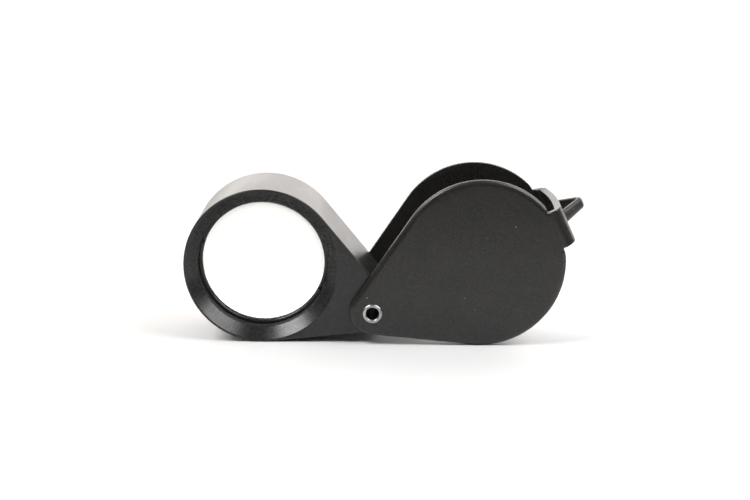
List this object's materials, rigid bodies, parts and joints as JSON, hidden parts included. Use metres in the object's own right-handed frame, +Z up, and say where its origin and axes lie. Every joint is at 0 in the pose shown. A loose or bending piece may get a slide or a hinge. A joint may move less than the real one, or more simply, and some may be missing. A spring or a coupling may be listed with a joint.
{
  "type": "jewelers loupe",
  "caption": "Folding pocket loupe: a cemented triplet lens in a thick teardrop holder swings on a hollow rivet out of a bent sheet-metal cover with a raised lanyard loop.",
  "frame": {"origin": "on the hollow rivet's axis, midway between the outer faces of the two cover plates", "axes": "+Y along the rivet and lens axes, away from the front face; +Z up with the opened loupe standing on its two large round ends; +X towards the cover"},
  "size_m": [0.058, 0.0164, 0.024],
  "materials": {
    "cover_black": "semi-matte black coating on steel sheet",
    "holder_black": "fine matte black anodised",
    "ring_black": "matte black anodised",
    "bright_steel": "bare, rolled lips",
    "washer_plastic": "smooth black",
    "flint_glass": "polished optical",
    "crown_glass": "polished optical"
  },
  "bodies": {
    "cover": {"cover": "cover_black", "pivot_rivet": "bright_steel", "friction_washer_front": "washer_plastic", "friction_washer_rear": "washer_plastic"},
    "holder": {"lens_holder": "holder_black", "retaining_ring_front": "ring_black", "retaining_ring_rear": "ring_black", "triplet_front_flint": "flint_glass", "triplet_centre_crown": "crown_glass", "triplet_rear_flint": "flint_glass"}
  },
  "joints": [
    {"name": "fold_hinge", "type": "hinge", "parent": "cover", "child": "holder", "pos_m": [0, 0, 0], "axis": [0, 1, 0], "continuous": true}
  ]
}
